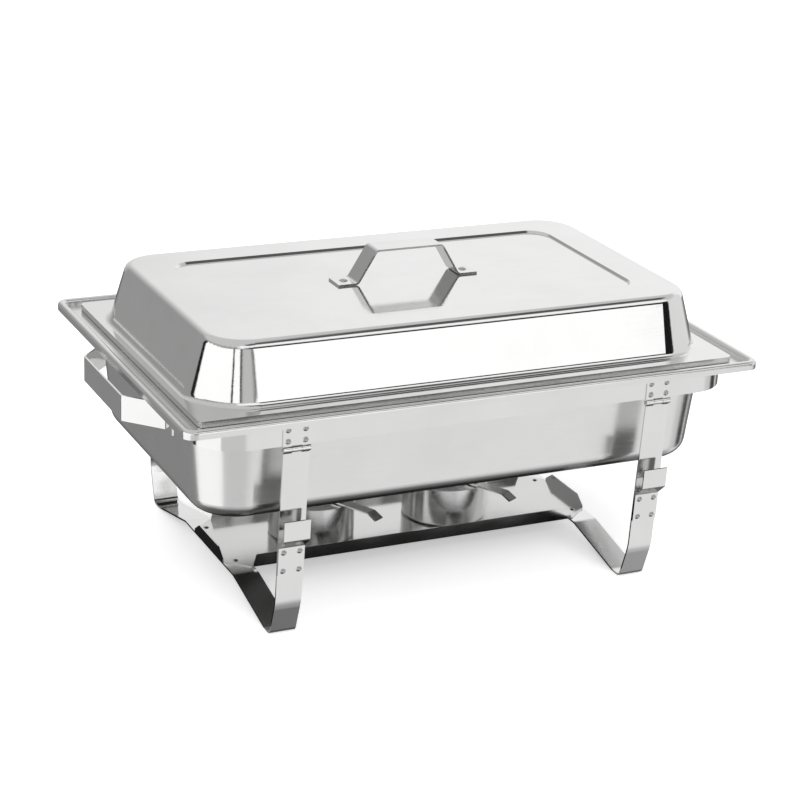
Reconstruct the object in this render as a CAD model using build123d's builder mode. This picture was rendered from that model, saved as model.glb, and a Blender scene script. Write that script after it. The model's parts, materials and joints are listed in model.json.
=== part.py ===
"""Full-size folding-frame chafing dish: lid, food pan, water pan, top frame with hinged
legs, lower stand with its fuel tray, and two fuel cups.

Millimetres. X runs along the length, Y across with the front at -Y, Z up. The origin is
on the floor under the middle of the dish.
"""
from build123d import *
from math import cos, hypot, radians, sin, sqrt
import os

os.makedirs("parts", exist_ok=True)

# ---- driving dimensions -------------------------------------------------------------
food_length, food_width, food_depth = 530.0, 325.0, 65.0   # gastronorm 1/1 pan
sheet = 1.0                    # pans and lid
strip = 2.0                    # flat bar of the frame
strip_width = 26.0
seat_gap = 0.2                 # between parts that lift off each other
pan_taper = 6.0                # degrees, pans narrow downwards

# water pan
rim_margin = 35.0              # its rim beyond the food pan, each side
rim_length = food_length + 2 * rim_margin
rim_width = food_width + 2 * rim_margin
rim_corner = 13.0
flange_top = 222.0
bead_low, bead_high, bead_width = 219.7, 228.0, 8.0
water_length, water_width, water_corner = 551.0, 334.0, 56.0
water_bottom, water_edge = 115.0, 18.0

# food pan
food_rim_top, food_rim_corner = 227.0, 14.0
food_body_length, food_body_width, food_corner, food_edge = 506.0, 301.0, 48.0, 15.0

# lid
lid_margin = 14.5              # its flange beyond the food pan, each side
lid_length = food_length + 2 * lid_margin
lid_width = food_width + 2 * lid_margin
lid_flange_corner = 6.0
lid_flange_top, lid_lip_low, lid_top = 228.2, 222.4, 286.0
lid_base_length, lid_base_width, lid_corner = 539.0, 319.0, 56.0
lid_taper, lid_shoulder, lid_flare = 16.0, 9.0, 6.0
panel_length, panel_width, panel_corner, panel_drop = 420.0, 206.0, 22.0, 2.2

# lid handle
grip_width, grip_top = 25.0, 318.0
grip_bar_half, grip_base_half, grip_foot_half = 35.5, 55.0, 75.5

# top frame
band_length, band_width, band_corner = 558.0, 374.0, 45.0
band_low, band_high = 199.0, 221.0
leg_x = 189.8                  # leg centres along the length
end_grip_low, end_grip_high = 190.0, 215.0
end_grip_reach, end_grip_half, end_grip_root, end_grip_tab = 313.0, 57.0, 91.0, 109.0
plate_width, plate_sheet, plate_top = 27.0, 1.2, 219.0
pin_radius, knuckle_radius, pin_play = 1.5, 3.0, 0.05
hinge_y, hinge_z = 187.6, 195.8
knuckle_half, knuckle_gap = 4.7, 0.3

# lower stand
stand_top_y, stand_top_z = 181.0, 100.4
stand_bend_y, stand_bend_z = 177.5, 38.0
foot_outer_y, foot_inner_y = 165.0, 151.5
tray_rest_y, tray_rest_z = 68.0, 19.0
leg_clearance = 0.8            # leg's end above the stand's upright

# J hook on the outside of each upright
hook_sheet, hook_plate_low, hook_plate_high = 1.6, -32.5, -3.4
hook_step, hook_tongue = 11.0, 20.0

# fuel tray
tray_sheet, tray_half_length, tray_half_width, tray_flange = 1.2, 180.0, 60.0, 12.7
tab_reach, tab_half_low, tab_half_high, tab_height = 203.0, 40.0, 27.0, 12.0
tray_floor = tray_rest_z + strip / 2

# fuel cups
cup_radius, cup_sheet, cup_height = 44.0, 0.8, 40.0
cup_x = {"left": -92.0, "right": 58.0}
burner_radius, snuffer_radius, snuffer_pivot = 24.0, 33.0, 38.0
snuffer_heading = -62.0        # degrees from +X towards the back, so this points forwards
snuffer_bar_width, snuffer_bar_end = 12.0, 88.0

# rivets: shank radius, head radius, head height, tail height
frame_rivet = (1.6, 2.9, 1.3, 0.8)
grip_rivet = (2.4, 4.4, 1.8, 0.9)

legs = {"front_left": (-1, -1), "front_right": (1, -1),
        "back_left": (-1, 1), "back_right": (1, 1)}


# ---- shared shapes ------------------------------------------------------------------
def across(x, side):
    """Plane across the dish at x. Local x points outwards on that side, local y points up."""
    return Plane(origin=(x, 0, 0), x_dir=(0, side, 0), z_dir=(side, 0, 0))


def along_bar(x, side, top, bottom):
    """Plane at a bar's top end. Local x is the bar's outward normal, local y runs up it."""
    run, rise = top[0] - bottom[0], top[1] - bottom[1]
    length = hypot(run, rise)
    return Plane(origin=(x, side * top[0], top[1]),
                 x_dir=(0, side * rise / length, -run / length), z_dir=(side, 0, 0))


def outward(plane, x_shift, height, depth):
    """Location on an along_bar plane whose local z is the outward normal, depth from it."""
    origin = plane.from_local_coords(Vector(depth, height, 0)) + Vector(x_shift, 0, 0)
    return Plane(origin=origin, z_dir=plane.x_dir).location


def rivet(size, grip):
    """One rivet along +Z: a flat tail below z = 0, a domed head above z = grip."""
    shank, head, dome, tail = size
    with BuildPart() as one:
        with BuildSketch(Plane.XZ):
            with BuildLine():
                Polyline((0, grip + dome), (0, -tail), (head, -tail), (head, 0), (shank, 0),
                         (shank, grip), (head, grip))
                RadiusArc((head, grip), (0, grip + dome), -dome_radius(head, dome))
            make_face()
        revolve(axis=Axis.Z)
    return one.part


def dome_radius(half_width, height):
    """Radius of a round cap of that half width and height."""
    return (half_width ** 2 + height ** 2) / (2 * height)


def rivet_hole(size, grip):
    """The hole that a rivet's shank fills."""
    return Solid.make_cylinder(size[0], grip + 2, Plane.XY.offset(-1))


def tapered_block(length, width, corner, start, end, taper, edge):
    """Rounded block narrowing from start to end, its far edge rounded."""
    with BuildPart() as block:
        with BuildSketch(Plane.XY.offset(start)):
            RectangleRounded(length, width, corner)
        extrude(amount=end - start, taper=taper)
        far = Axis.Z if end > start else -Axis.Z
        fillet(block.faces().sort_by(far)[-1].edges(), radius=edge)
    return block.part


def tapered_pan(length, width, corner, top, bottom, edge):
    """Open pan of even thickness, its outside narrowing downwards."""
    wall = sheet / cos(radians(pan_taper))
    with BuildPart() as pan:
        add(tapered_block(length, width, corner, top, bottom, pan_taper, edge))
        add(tapered_block(length - 2 * wall, width - 2 * wall, corner - wall, top,
                          bottom + sheet, pan_taper, edge - sheet), mode=Mode.SUBTRACT)
    return pan.part


def ring(length, width, corner, inner_length, inner_width, inner_corner, low, high):
    """Level plate between two rounded rectangles."""
    with BuildPart() as plate:
        with BuildSketch(Plane.XY.offset(low)):
            RectangleRounded(length, width, corner)
            RectangleRounded(inner_length, inner_width, inner_corner, mode=Mode.SUBTRACT)
        extrude(amount=high - low)
    return plate.part


def turned_edge(length, width, corner, low, high):
    """Sheet edge turned down along a rounded rectangle."""
    return ring(length, width, corner, length - 2 * sheet, width - 2 * sheet, corner - sheet,
                low, high)


# ---- water pan ----------------------------------------------------------------------
bead_inner = (rim_length - 2 * bead_width, rim_width - 2 * bead_width, rim_corner - bead_width)

with BuildPart() as bead:
    with BuildSketch(Plane.XY.offset(bead_low)):
        RectangleRounded(rim_length, rim_width, rim_corner)
        RectangleRounded(*bead_inner, mode=Mode.SUBTRACT)
    extrude(amount=bead_high - bead_low)
    fillet(bead.faces().sort_by(Axis.Z)[-1].edges(), radius=3.2)
    with BuildSketch(Plane.XY.offset(bead_low)):
        RectangleRounded(rim_length - 2 * sheet, rim_width - 2 * sheet, rim_corner - sheet)
        RectangleRounded(bead_inner[0] + 2 * sheet, bead_inner[1] + 2 * sheet,
                         bead_inner[2] + sheet, mode=Mode.SUBTRACT)
    extrude(amount=bead_high - bead_low - 3.5, mode=Mode.SUBTRACT)

with BuildPart() as water_pan:
    add(tapered_pan(water_length, water_width, water_corner, flange_top, water_bottom,
                    water_edge))
    add(ring(*bead_inner, water_length - 2 * sheet, water_width - 2 * sheet,
             water_corner - sheet, flange_top - sheet, flange_top))
    add(bead.part)
water_pan.part.label = "water_pan"
export_step(water_pan.part, "parts/water_pan.step")


# ---- food pan -----------------------------------------------------------------------
with BuildPart() as food_pan:
    add(tapered_pan(food_body_length, food_body_width, food_corner, food_rim_top,
                    food_rim_top - food_depth, food_edge))
    add(ring(food_length, food_width, food_rim_corner, food_body_length - 2 * sheet,
             food_body_width - 2 * sheet, food_corner - sheet, food_rim_top - sheet,
             food_rim_top))
    add(turned_edge(food_length, food_width, food_rim_corner, flange_top + seat_gap,
                    food_rim_top))
food_pan.part.label = "food_pan"
export_step(food_pan.part, "parts/food_pan.step")


# ---- lid and its handle -------------------------------------------------------------
def sunk_panel(spread, top):
    """The shallow pressed panel in the lid's top, its walls at 45 degrees."""
    with BuildPart() as panel:
        with BuildSketch(Plane.XY.offset(top)):
            RectangleRounded(panel_length + 2 * spread, panel_width + 2 * spread,
                             panel_corner + spread)
        extrude(amount=-panel_drop, taper=45)
    return panel.part


lid_wall = sheet / cos(radians(lid_taper))
with BuildPart() as dome_inside:
    add(tapered_block(lid_base_length - 2 * lid_wall, lid_base_width - 2 * lid_wall,
                      lid_corner - lid_wall, lid_flange_top - sheet, lid_top - sheet, lid_taper,
                      lid_shoulder - sheet))
    add(sunk_panel(sheet * (sqrt(2) - 1), lid_top - sheet), mode=Mode.SUBTRACT)

with BuildPart() as dome:
    add(tapered_block(lid_base_length, lid_base_width, lid_corner, lid_flange_top - sheet,
                      lid_top, lid_taper, lid_shoulder))
    add(sunk_panel(0, lid_top), mode=Mode.SUBTRACT)
    add(dome_inside.part, mode=Mode.SUBTRACT)

panel_top = lid_top - panel_drop
grip_rivet_x = (grip_base_half + grip_foot_half) / 2
grip_rivet_places = [Location((side * grip_rivet_x, 0, panel_top - sheet)) for side in (-1, 1)]

with BuildPart() as lid:
    add(dome.part)
    add(ring(lid_length, lid_width, lid_flange_corner, lid_base_length - 2 * sheet,
             lid_base_width - 2 * sheet, lid_corner - sheet, lid_flange_top - sheet,
             lid_flange_top))
    at_foot = lid.edges().filter_by_position(Axis.Z, lid_flange_top - 0.01,
                                             lid_flange_top + 0.01)
    inside_flange = at_foot.filter_by(lambda e: abs(e.center().X) < lid_base_length / 2 + 1
                                      and abs(e.center().Y) < lid_base_width / 2 + 1)
    fillet(inside_flange, radius=lid_flare)
    add(turned_edge(lid_length, lid_width, lid_flange_corner, lid_lip_low,
                    lid_flange_top - sheet))
    for place in grip_rivet_places:
        add(rivet_hole(grip_rivet, sheet).moved(place), mode=Mode.SUBTRACT)
lid.part.label = "lid"
export_step(lid.part, "parts/lid.step")

with BuildPart() as lid_handle:
    with BuildSketch(Plane.XZ):
        with BuildLine():
            foot, bar = panel_top + strip / 2, grip_top - strip / 2
            FilletPolyline((-grip_foot_half, foot), (-grip_base_half, foot),
                           (-grip_bar_half, bar), (grip_bar_half, bar),
                           (grip_base_half, foot), (grip_foot_half, foot), radius=5)
        trace(line_width=strip)
    extrude(amount=grip_width / 2, both=True)
    for place in grip_rivet_places:
        add(rivet_hole(grip_rivet, sheet + strip).moved(place), mode=Mode.SUBTRACT)
lid_handle.part.label = "lid_handle"
export_step(lid_handle.part, "parts/lid_handle.step")

with BuildPart() as lid_handle_rivets:
    for place in grip_rivet_places:
        add(rivet(grip_rivet, sheet + strip).moved(place))
lid_handle_rivets.part.label = "lid_handle_rivets"
export_step(lid_handle_rivets.part, "parts/lid_handle_rivets.step")


# ---- top frame: band, end handles, hinge plates -------------------------------------
band_inside_y, band_inside_x = band_width / 2 - strip, band_length / 2 - strip
plate_rivet_places = []
for side_x, side_y in legs.values():
    for shift in (-8.5, 8.5):
        for height in (203.6, 214.6):
            plate_rivet_places.append(
                Plane(origin=(side_x * leg_x + shift, side_y * band_inside_y, height),
                      z_dir=(0, side_y, 0)).location)
end_rivet_places = []
for side_x in (-1, 1):
    for y in (-100.0, 100.0):
        end_rivet_places.append(Plane(origin=(side_x * band_inside_x, y, 207.0),
                                      z_dir=(side_x, 0, 0)).location)

with BuildPart() as frame_band:
    add(ring(band_length, band_width, band_corner, band_length - 2 * strip,
             band_width - 2 * strip, band_corner - strip, band_low, band_high))
    for place in plate_rivet_places:
        add(rivet_hole(frame_rivet, strip).moved(place), mode=Mode.SUBTRACT)
    for place in end_rivet_places:
        add(rivet_hole(frame_rivet, strip).moved(place), mode=Mode.SUBTRACT)
frame_band.part.label = "frame_band"
export_step(frame_band.part, "parts/frame_band.step")

for name, side_x in (("left", -1), ("right", 1)):
    root = band_length / 2 + strip / 2
    reach = end_grip_reach - strip / 2
    with BuildPart() as end_handle:
        with BuildSketch(Plane.XY.offset(end_grip_low)):
            with BuildLine():
                FilletPolyline((side_x * root, -end_grip_tab), (side_x * root, -end_grip_root),
                               (side_x * reach, -end_grip_half), (side_x * reach, end_grip_half),
                               (side_x * root, end_grip_root), (side_x * root, end_grip_tab),
                               radius=5)
            trace(line_width=strip)
        extrude(amount=end_grip_high - end_grip_low)
        for place in end_rivet_places:
            add(rivet_hole(frame_rivet, 2 * strip).moved(place), mode=Mode.SUBTRACT)
    end_handle.part.label = f"end_handle_{name}"
    export_step(end_handle.part, f"parts/end_handle_{name}.step")

with BuildPart() as end_handle_rivets:
    for place in end_rivet_places:
        add(rivet(frame_rivet, 2 * strip).moved(place))
end_handle_rivets.part.label = "end_handle_rivets"
export_step(end_handle_rivets.part, "parts/end_handle_rivets.step")

with BuildPart() as hinge_plate_rivets:
    for place in plate_rivet_places:
        add(rivet(frame_rivet, strip + plate_sheet).moved(place))
hinge_plate_rivets.part.label = "hinge_plate_rivets"
export_step(hinge_plate_rivets.part, "parts/hinge_plate_rivets.step")

notch_half = knuckle_half + knuckle_gap
for name, (side_x, side_y) in legs.items():
    x = side_x * leg_x
    pin_line = across(x, side_y)
    with BuildPart() as hinge_plate:
        with BuildSketch(pin_line):
            with Locations((band_width / 2 + plate_sheet / 2, (hinge_z + plate_top) / 2)):
                Rectangle(plate_sheet, plate_top - hinge_z)
            with Locations((hinge_y, hinge_z)):
                Circle(knuckle_radius)
                Circle(pin_radius, mode=Mode.SUBTRACT)
        extrude(amount=plate_width / 2, both=True)
        with BuildSketch(pin_line):
            with Locations((hinge_y, hinge_z)):
                Rectangle(3 * knuckle_radius, 2 * knuckle_radius + 1)
        extrude(amount=notch_half, both=True, mode=Mode.SUBTRACT)
        for place in plate_rivet_places:
            add(rivet_hole(frame_rivet, strip + plate_sheet).moved(place), mode=Mode.SUBTRACT)
    hinge_plate.part.label = f"hinge_plate_{name}"
    export_step(hinge_plate.part, f"parts/hinge_plate_{name}.step")

    with BuildPart() as hinge_pin:
        with BuildSketch(pin_line):
            with Locations((hinge_y, hinge_z)):
                Circle(pin_radius)
        extrude(amount=plate_width / 2 + 0.8, both=True)
    hinge_pin.part.label = f"hinge_pin_{name}"
    export_step(hinge_pin.part, f"parts/hinge_pin_{name}.step")

    # upper leg: a strip with one rolled knuckle, its foot just above the stand's upright
    leg_line = along_bar(x, side_y, (hinge_y, hinge_z),
                         (stand_top_y, stand_top_z + leg_clearance))
    leg_length = hypot(hinge_y - stand_top_y, hinge_z - stand_top_z - leg_clearance)
    shoulder = knuckle_radius + 0.8
    with BuildPart() as leg:
        with BuildSketch(leg_line):
            with Locations((0, -(leg_length + shoulder) / 2)):
                Rectangle(strip, leg_length - shoulder)
        extrude(amount=strip_width / 2, both=True)
        with BuildSketch(leg_line):
            Circle(knuckle_radius)
            with Locations((0, -shoulder / 2 - 1)):
                Rectangle(strip, shoulder + 2)
        extrude(amount=knuckle_half, both=True)
        with BuildSketch(leg_line):
            Circle(pin_radius + pin_play)
        extrude(amount=strip_width, both=True, mode=Mode.SUBTRACT)
    leg.part.label = f"leg_{name}"
    export_step(leg.part, f"parts/leg_{name}.step")


# ---- lower stand: base straps, J hooks, fuel tray -----------------------------------
stand_top, stand_bend = (stand_top_y, stand_top_z), (stand_bend_y, stand_bend_z)
hook_rivet_places = []
for side_x, side_y in legs.values():
    upright = along_bar(side_x * leg_x, side_y, stand_top, stand_bend)
    for shift in (-8.0, 8.0):
        for height in (-9.0, -28.0):
            hook_rivet_places.append(outward(upright, shift, height, -strip / 2))
tray_rivet_places = [Location((side_x * leg_x, y, tray_floor - strip))
                     for side_x in (-1, 1) for y in (-42.0, 42.0)]

for name, side_x in (("left", -1), ("right", 1)):
    half = [stand_top, stand_bend, (foot_outer_y, strip / 2), (foot_inner_y, strip / 2),
            (tray_rest_y, tray_rest_z)]
    mirrored = [(-y, z) for y, z in reversed(half)]
    with BuildPart() as base_strap:
        with BuildSketch(across(side_x * leg_x, 1)):
            with BuildLine():
                FilletPolyline(*half, *mirrored, radius=[60, 6, 20, 20, 20, 20, 6, 60])
            trace(line_width=strip)
        extrude(amount=strip_width / 2, both=True)
        for place in hook_rivet_places:
            add(rivet_hole(frame_rivet, strip).moved(place), mode=Mode.SUBTRACT)
        for place in tray_rivet_places:
            add(rivet_hole(frame_rivet, strip).moved(place), mode=Mode.SUBTRACT)
    base_strap.part.label = f"base_strap_{name}"
    export_step(base_strap.part, f"parts/base_strap_{name}.step")

hook_start = strip / 2 + hook_sheet / 2
for name, (side_x, side_y) in legs.items():
    with BuildPart() as leg_hook:
        with BuildSketch(along_bar(side_x * leg_x, side_y, stand_top, stand_bend)):
            with BuildLine():
                FilletPolyline((hook_start, hook_plate_low), (hook_start, hook_plate_high),
                               (hook_start + hook_step, hook_plate_high + hook_step),
                               (hook_start + hook_step, hook_plate_high + hook_step + hook_tongue),
                               radius=2.5)
            trace(line_width=hook_sheet)
        extrude(amount=strip_width / 2, both=True)
        for place in hook_rivet_places:
            add(rivet_hole(frame_rivet, strip + hook_sheet).moved(place), mode=Mode.SUBTRACT)
    leg_hook.part.label = f"leg_hook_{name}"
    export_step(leg_hook.part, f"parts/leg_hook_{name}.step")

with BuildPart() as leg_hook_rivets:
    for place in hook_rivet_places:
        add(rivet(frame_rivet, strip + hook_sheet).moved(place))
leg_hook_rivets.part.label = "leg_hook_rivets"
export_step(leg_hook_rivets.part, "parts/leg_hook_rivets.step")

with BuildPart() as fuel_tray:
    with BuildSketch(Plane.XY.offset(tray_floor)):
        with BuildLine():
            Polyline((-tray_half_length, -tray_half_width), (tray_half_length, -tray_half_width),
                     (tab_reach, -tab_half_low), (tab_reach, tab_half_low),
                     (tray_half_length, tray_half_width), (-tray_half_length, tray_half_width),
                     (-tab_reach, tab_half_low), (-tab_reach, -tab_half_low), close=True)
        make_face()
    extrude(amount=tray_sheet)
    for side in (-1, 1):
        with BuildSketch(Plane(origin=(0, side * tray_half_width, tray_floor), z_dir=(0, -side, 0),
                               x_dir=(side, 0, 0))):
            with BuildLine():
                low, high = tray_half_length - 2, tray_half_length - 5
                Polyline((-low, 0), (low, 0), (low, 3), (high, tray_flange),
                         (-high, tray_flange), (-low, 3), close=True)
            make_face()
        extrude(amount=tray_sheet)
        with BuildSketch(Plane(origin=(side * tab_reach, 0, tray_floor), z_dir=(-side, 0, 0),
                               x_dir=(0, -side, 0))):
            with BuildLine():
                Polyline((-tab_half_low, 0), (tab_half_low, 0), (tab_half_low, 3),
                         (tab_half_high, tab_height), (-tab_half_high, tab_height),
                         (-tab_half_low, 3), close=True)
            make_face()
        extrude(amount=tray_sheet)
    for place in tray_rivet_places:
        add(rivet_hole(frame_rivet, strip + tray_sheet).moved(place), mode=Mode.SUBTRACT)
fuel_tray.part.label = "fuel_tray"
export_step(fuel_tray.part, "parts/fuel_tray.step")

with BuildPart() as tray_rivets:
    for place in tray_rivet_places:
        add(rivet(frame_rivet, strip + tray_sheet).moved(place))
tray_rivets.part.label = "tray_rivets"
export_step(tray_rivets.part, "parts/tray_rivets.step")


# ---- fuel cups ----------------------------------------------------------------------
cup_low = tray_floor + tray_sheet + seat_gap
cup_high = cup_low + cup_height
cap_top = cup_high + cup_sheet
disc_low = cap_top + seat_gap
bar_low = disc_low + cup_sheet
bar_sheet = 1.5
washer_high = bar_low - seat_gap
heading = radians(snuffer_heading)

for name, x in cup_x.items():
    pivot = (x + snuffer_pivot * cos(heading), snuffer_pivot * sin(heading))
    with BuildPart() as fuel_cup:
        with BuildSketch(Plane.XY.offset(cup_low)):
            with Locations((x, 0)):
                Circle(cup_radius)
        extrude(amount=cup_height)
        fillet(fuel_cup.edges().group_by(Axis.Z)[0], radius=3)
        offset(amount=-cup_sheet, openings=fuel_cup.faces().sort_by(Axis.Z)[-1])
    fuel_cup.part.label = f"fuel_cup_{name}"
    export_step(fuel_cup.part, f"parts/fuel_cup_{name}.step")

    with BuildPart() as cup_cap:
        with BuildSketch(Plane.XY.offset(cup_high - 4)):
            with Locations((x, 0)):
                Circle(cup_radius + cup_sheet)
                Circle(cup_radius, mode=Mode.SUBTRACT)
        extrude(amount=4)
        with BuildSketch(Plane.XY.offset(cup_high)):
            with Locations((x, 0)):
                Circle(cup_radius + cup_sheet)
                Circle(burner_radius, mode=Mode.SUBTRACT)
            with Locations(pivot):
                Circle(2.0, mode=Mode.SUBTRACT)
        extrude(amount=cup_sheet)
    cup_cap.part.label = f"cup_cap_{name}"
    export_step(cup_cap.part, f"parts/cup_cap_{name}.step")

    with BuildPart() as snuffer_disc:
        with BuildSketch(Plane.XY.offset(disc_low)):
            with Locations((x, 0)):
                Circle(snuffer_radius)
        extrude(amount=cup_sheet)
        fillet(snuffer_disc.faces().sort_by(Axis.Z)[-1].edges(), radius=0.5)
    snuffer_disc.part.label = f"snuffer_disc_{name}"
    export_step(snuffer_disc.part, f"parts/snuffer_disc_{name}.step")

    # flat bar from the disc over the pivot, its end bent down as a finger tab
    bar_plane = Plane(origin=(x, 0, bar_low + bar_sheet / 2), x_dir=(cos(heading), sin(heading), 0),
                      z_dir=(sin(heading), -cos(heading), 0))
    with BuildPart() as snuffer_handle:
        with BuildSketch(bar_plane):
            with BuildLine():
                FilletPolyline((-12, 0), (snuffer_bar_end - 12, 0), (snuffer_bar_end - 2, -5),
                               radius=4)
            trace(line_width=bar_sheet)
        extrude(amount=snuffer_bar_width / 2, both=True)
        with BuildSketch(Plane.XY.offset(bar_low - 1)):
            with Locations(pivot):
                Circle(2.0 + pin_play)
        extrude(amount=4, mode=Mode.SUBTRACT)
    snuffer_handle.part.label = f"snuffer_handle_{name}"
    export_step(snuffer_handle.part, f"parts/snuffer_handle_{name}.step")

    # shouldered rivet: tail under the cap, washer that carries the bar, dome on top
    with BuildPart() as snuffer_pivot_rivet:
        dome_low = bar_low + bar_sheet + seat_gap
        with BuildSketch(Plane(origin=(*pivot, 0), x_dir=(1, 0, 0), z_dir=(0, -1, 0))):
            with BuildLine():
                Polyline((0, dome_low + 1.6), (0, cup_high - 0.9), (3.6, cup_high - 0.9),
                         (3.6, cup_high), (2, cup_high), (2, cap_top), (4, cap_top),
                         (4, washer_high), (2, washer_high), (2, dome_low), (4, dome_low))
                RadiusArc((4, dome_low), (0, dome_low + 1.6), -dome_radius(4, 1.6))
            make_face()
        revolve(axis=Axis((*pivot, 0), (0, 0, 1)))
    snuffer_pivot_rivet.part.label = f"snuffer_pivot_{name}"
    export_step(snuffer_pivot_rivet.part, f"parts/snuffer_pivot_{name}.step")
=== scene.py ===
"""Looks of a stainless-steel chafing dish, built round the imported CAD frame. Metres, Z up."""
import bpy
import json
from math import cos, pi, radians, sin
from mathutils import Matrix, Vector


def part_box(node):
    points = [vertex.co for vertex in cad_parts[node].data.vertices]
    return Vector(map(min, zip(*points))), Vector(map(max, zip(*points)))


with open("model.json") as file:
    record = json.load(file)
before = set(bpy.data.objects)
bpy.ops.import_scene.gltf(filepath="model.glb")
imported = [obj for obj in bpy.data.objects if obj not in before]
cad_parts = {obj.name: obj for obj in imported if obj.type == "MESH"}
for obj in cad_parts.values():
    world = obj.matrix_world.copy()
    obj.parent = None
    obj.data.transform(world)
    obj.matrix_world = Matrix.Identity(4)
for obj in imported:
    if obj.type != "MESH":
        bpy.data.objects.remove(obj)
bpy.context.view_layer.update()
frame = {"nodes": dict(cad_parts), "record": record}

scene = bpy.context.scene
scene.view_settings.view_transform = "Standard"


# ---- camera -------------------------------------------------------------------------
CAMERA_PLACE = (-0.9202, -1.9117, 0.9507)
YAW, PITCH, ROLL = 25.761, 20.620, 2.577     # degrees: turn to the right, tilt down, roll
FOCAL = 100.36                                 # millimetres on a 36 mm sensor


def add_camera():
    yaw, pitch, roll = radians(YAW), radians(PITCH), radians(ROLL)
    forward = Vector((sin(yaw) * cos(pitch), cos(yaw) * cos(pitch), -sin(pitch)))
    level = Vector((cos(yaw), -sin(yaw), 0))
    upward = level.cross(forward)
    right = cos(roll) * level + sin(roll) * upward
    top = -sin(roll) * level + cos(roll) * upward
    camera = bpy.data.objects.new("camera", bpy.data.cameras.new("camera"))
    camera.matrix_world = Matrix((
        (right.x, top.x, -forward.x, CAMERA_PLACE[0]),
        (right.y, top.y, -forward.y, CAMERA_PLACE[1]),
        (right.z, top.z, -forward.z, CAMERA_PLACE[2]),
        (0, 0, 0, 1)))
    camera.data.lens = FOCAL
    camera.data.sensor_width = 36
    scene.collection.objects.link(camera)
    scene.camera = camera


add_camera()


# ---- materials ----------------------------------------------------------------------
class Nodes:
    """A short way to add and join shader nodes."""

    def __init__(self, tree):
        self.tree = tree

    def add(self, kind, inputs=None, **settings):
        node = self.tree.nodes.new(kind)
        for key, value in settings.items():
            setattr(node, key, value)
        for key, value in (inputs or {}).items():
            self.put(node.inputs[key], value)
        return node

    def put(self, socket, value):
        if isinstance(value, bpy.types.NodeSocket):
            self.tree.links.new(value, socket)
        else:
            socket.default_value = value

    def math(self, operation, *values):
        return self.add("ShaderNodeMath", dict(enumerate(values)), operation=operation).outputs[0]

    def noise(self, coordinates, stretch, detail=3.0, roughness=0.5):
        """Noise with so many features per metre along x, y and z."""
        scaled = self.add("ShaderNodeVectorMath", {0: coordinates, 1: stretch},
                          operation="MULTIPLY")
        return self.add("ShaderNodeTexNoise", {"Vector": scaled.outputs[0], "Scale": 1.0,
                                               "Detail": detail, "Roughness": roughness}).outputs[0]

    def spread(self, value, low, high, to_low, to_high):
        """value, taken from between low and high to between to_low and to_high."""
        return self.add("ShaderNodeMapRange", {0: value, 1: low, 2: high, 3: to_low,
                                               4: to_high}).outputs[0]


GRAIN_DEPTH = 0.02      # height of the rolling marks, in bump units of a millimetre


def steel(name, tint, gloss, smear=0.06, grain=(40, 900, 900)):
    """Stainless steel. gloss is its roughness, smear how much handling marks add to it, and
    grain the rolling marks per metre along x, y and z."""
    material = bpy.data.materials.new(name)
    material.use_nodes = True
    tree = material.node_tree
    tree.nodes.clear()
    n = Nodes(tree)
    place = n.add("ShaderNodeTexCoord").outputs["Object"]
    rolled = n.noise(place, grain, 4.0, 0.6)
    smudge = n.noise(place, (14, 14, 14), 5.0, 0.55)
    fine = n.noise(place, (160, 160, 160), 3.0, 0.6)
    colour = n.add("ShaderNodeMix", data_type="RGBA")
    n.put(colour.inputs[0], n.spread(smudge, 0.3, 0.7, 0.0, 1.0))
    n.put(colour.inputs[6], (*[c * 0.94 for c in tint], 1))
    n.put(colour.inputs[7], (*tint, 1))
    marks = n.spread(smudge, 0.42, 0.75, 0.0, smear)
    streaks = n.spread(rolled, 0.3, 0.7, -0.25 * gloss, 0.25 * gloss)
    rough = n.math("ADD", n.math("ADD", marks, streaks), gloss)
    tall = n.math("MULTIPLY", rolled, GRAIN_DEPTH)
    height = n.math("ADD", tall, n.math("MULTIPLY", fine, GRAIN_DEPTH * 0.5))
    bump = n.add("ShaderNodeBump", {"Height": height, "Strength": 1.0, "Distance": 0.001})
    shader = n.add("ShaderNodeBsdfPrincipled", {"Base Color": colour.outputs[2], "Metallic": 1.0,
                                                "Roughness": rough, "Normal": bump.outputs[0]})
    output = n.add("ShaderNodeOutputMaterial")
    tree.links.new(shader.outputs[0], output.inputs[0])
    return material


polished = steel("polished_steel", (0.86, 0.86, 0.855), 0.07, smear=0.02)
satin = steel("satin_steel", (0.84, 0.84, 0.835), 0.20, smear=0.05)
flat_bar = steel("frame_steel", (0.84, 0.84, 0.835), 0.10, grain=(900, 40, 900))
spun = steel("cup_steel", (0.80, 0.80, 0.795), 0.18, grain=(300, 300, 900))
plain = steel("rivet_steel", (0.55, 0.55, 0.55), 0.25)
# the fuel tray's steel, tinted darker than the rest: painted shade for the shade the tray sits in
# under the pan
shaded_tray = steel("tray_painted_shade", (0.70, 0.70, 0.695), 0.12, smear=0.07, grain=(30, 700, 700))
by_slot = {"polished_steel": polished, "frame_steel": flat_bar, "cup_steel": spun,
           "rivet_steel": plain}
by_node = {"water_pan": satin, "food_pan": satin, "fuel_tray": shaded_tray}
for part in frame["record"]["subparts"]:
    node = frame["nodes"][part["node"]]
    node.data.materials.clear()
    finish = by_node.get(part["node"], by_slot[part["material_slot"]])
    node.data.materials.append(finish)


# ---- floor and light ----------------------------------------------------------------
FLOOR_HALF = 40.0
FLOOR_LOW, SHADE_LOW = -0.0003, -0.0002      # just under the feet, the shade over the floor
FLOOR_GLOW = 0.45                              # lifts the shadow on the floor
SHADE_REACH = (0.9, 0.8)                       # of the top frame's length and width
WALL_DARK, WALL_LIGHT = 0.34, 0.97
ROOM_TURN = radians(160)                       # puts the ends of turn at the right


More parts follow.
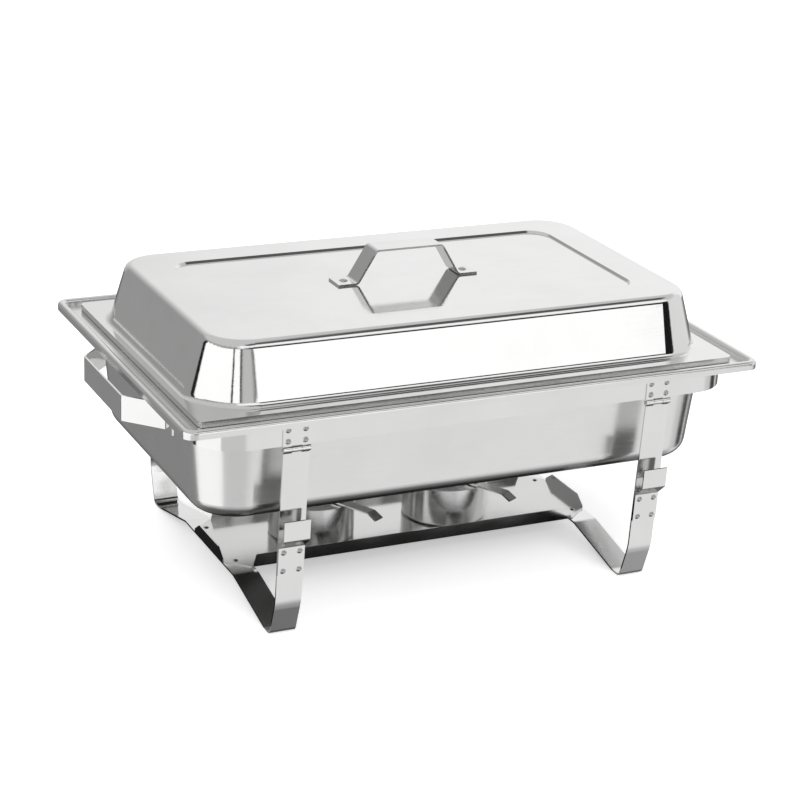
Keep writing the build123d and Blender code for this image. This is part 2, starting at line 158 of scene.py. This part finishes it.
def add_floor():
    half = FLOOR_HALF
    mesh = bpy.data.meshes.new("floor")
    mesh.from_pydata([(-half, -half, 0), (half, -half, 0), (half, half, 0), (-half, half, 0)], [],
                     [(0, 1, 2, 3)])
    floor = bpy.data.objects.new("floor", mesh)
    floor.location.z = FLOOR_LOW
    floor.visible_glossy = False
    scene.collection.objects.link(floor)
    material = bpy.data.materials.new("floor")
    material.use_nodes = True
    shader = material.node_tree.nodes["Principled BSDF"]
    shader.inputs["Base Color"].default_value = (0.92, 0.92, 0.92, 1)
    shader.inputs["Roughness"].default_value = 0.9
    shader.inputs["Specular IOR Level"].default_value = 0.0
    shader.inputs["Emission Color"].default_value = (1, 1, 1, 1)
    shader.inputs["Emission Strength"].default_value = FLOOR_GLOW
    mesh.materials.append(material)


def add_shade():
    """The shade under the dish, which only reflections see."""
    low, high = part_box("frame_band")
    corners = [(low[0], low[1]), (high[0], low[1]), (high[0], high[1]), (low[0], high[1])]
    mesh = bpy.data.meshes.new("shade")
    mesh.from_pydata([(SHADE_REACH[0] * x, SHADE_REACH[1] * y, 0) for x, y in corners], [],
                     [(0, 1, 2, 3)])
    shade = bpy.data.objects.new("shade", mesh)
    shade.location.z = SHADE_LOW
    shade.visible_camera = False
    shade.visible_diffuse = False
    shade.visible_shadow = False
    scene.collection.objects.link(shade)
    material = bpy.data.materials.new("shade")
    material.use_nodes = True
    shader = material.node_tree.nodes["Principled BSDF"]
    shader.inputs["Base Color"].default_value = (0.03, 0.03, 0.03, 1)
    shader.inputs["Roughness"].default_value = 1.0
    shader.inputs["Specular IOR Level"].default_value = 0.0
    mesh.materials.append(material)


class Studio(Nodes):
    """The room that the steel reflects, as brightness by direction in degrees: turn is counted
    anticlockwise from the left, 20 degrees to the front, and rise from the horizon."""

    def __init__(self, tree):
        super().__init__(tree)
        way = self.add("ShaderNodeTexCoord").outputs["Generated"]
        turned = self.add("ShaderNodeVectorRotate", {"Vector": way, "Angle": ROOM_TURN},
                          rotation_type="Z_AXIS")
        part = self.add("ShaderNodeSeparateXYZ", {0: turned.outputs[0]}).outputs
        self.turn = self.math("MULTIPLY", self.math("ARCTAN2", part[1], part[0]), 180 / pi)
        self.rise = self.math("MULTIPLY", self.math("ARCSINE", part[2]), 180 / pi)
        self.light = WALL_DARK

    def band(self, value, low, high, soft):
        """1 between low and high, falling to 0 over soft degrees at each end."""
        up = self.add("ShaderNodeMapRange", {0: value, 1: low - soft / 2, 2: low + soft / 2},
                      interpolation_type="SMOOTHSTEP").outputs[0]
        down = self.add("ShaderNodeMapRange", {0: value, 1: high - soft / 2, 2: high + soft / 2,
                                               3: 1.0, 4: 0.0},
                        interpolation_type="SMOOTHSTEP").outputs[0]
        return self.math("MULTIPLY", up, down)

    def paint(self, mask, light):
        mixed = self.add("ShaderNodeMix", {0: mask}, data_type="FLOAT")
        self.put(mixed.inputs[2], self.light)
        self.put(mixed.inputs[3], light)
        self.light = mixed.outputs[0]

    def panel(self, turn, rise, light, soft=(3, 3)):
        """A panel that spans turn and rise, each (low, high), of the given brightness."""
        self.paint(self.math("MULTIPLY", self.band(self.turn, *turn, soft[0]),
                             self.band(self.rise, *rise, soft[1])), light)

    def oval(self, turn, rise, light, soft=0.3):
        """An oval light at turn and rise, each (middle, half width)."""
        across = self.math("DIVIDE", self.math("SUBTRACT", self.turn, turn[0]), turn[1])
        up = self.math("DIVIDE", self.math("SUBTRACT", self.rise, rise[0]), rise[1])
        away = self.math("ADD", self.math("MULTIPLY", across, across),
                         self.math("MULTIPLY", up, up))
        self.paint(self.add("ShaderNodeMapRange", {0: away, 1: 1 - soft, 2: 1 + soft, 3: 1.0,
                                                   4: 0.0}).outputs[0], light)


def add_light():
    world = bpy.data.worlds.new("studio")
    scene.world = world
    world.use_nodes = True
    world.node_tree.nodes.clear()
    n = Studio(world.node_tree)
    # the back wall, bright behind the right half and dark behind the left
    back = n.spread(n.turn, -136, -90, WALL_LIGHT, WALL_DARK)
    n.paint(n.band(n.turn, -200, -60, 20), back)
    n.panel((100, 200), (-90, 90), 0.80, (30, 3))
    # the ceiling
    n.panel((-200, 200), (34, 100), 0.62, (3, 14))
    n.panel((45, 128), (29, 50), 1.05, (12, 5))
    n.panel((70, 170), (52, 68), 0.10, (16, 6))
    # the floor behind, on the left, and in front, and its dark middle
    n.panel((-200, -95), (-100, -8), 0.16, (20, 8))
    n.panel((-100, -40), (-100, -12), 0.27, (20, 6))
    n.panel((0, 150), (-100, -12), 0.66, (12, 10))
    n.panel((80, 130), (-46, -14), 0.86, (8, 6))
    n.panel((-45, 22), (-45, 12), 1.15, (4, 12))
    n.panel((-200, 200), (-100, -52), 0.10, (3, 26))
    # the side light, its frame, and the gap beside it
    n.panel((-46, 34), (-14, 24), 1.20, (2, 6))
    n.panel((-56, -46), (-24, 24), 0.01, (3, 4))
    n.panel((33, 37), (-12, 26), 0.02, (1.5, 3))
    # the front light, dark above it and at both its ends
    n.panel((37, 122), (15, 25), 0.02, (4, 4))
    n.panel((37, 103), (-14, 15), 1.22, (1.5, 4))
    n.panel((103, 121), (-13, 26), 0.01, (2, 4))
    n.panel((50, 81), (-14, 18), 0.02, (1.5, 3))
    n.oval((66, 14.5), (5, 12), 0.58)
    n.panel((150, 172), (-34, -16), 0.03, (6, 6))
    path = n.add("ShaderNodeLightPath").outputs["Is Glossy Ray"]
    seen = n.add("ShaderNodeMix", {0: path}, data_type="FLOAT")
    n.put(seen.inputs[2], 1.0)
    n.put(seen.inputs[3], n.light)
    background = n.add("ShaderNodeBackground", {"Strength": seen.outputs[0]})
    background.inputs["Color"].default_value = (1, 1, 1, 1)
    output = n.add("ShaderNodeOutputWorld")
    world.node_tree.links.new(background.outputs[0], output.inputs[0])
    sun = bpy.data.lights.new("key", "SUN")
    sun.energy = 0.6
    sun.angle = radians(60)
    sun.specular_factor = 0.0
    key = bpy.data.objects.new("key", sun)
    key.visible_glossy = False
    key.rotation_euler = (radians(35), radians(-25), 0)
    scene.collection.objects.link(key)


add_floor()
add_shade()
add_light()
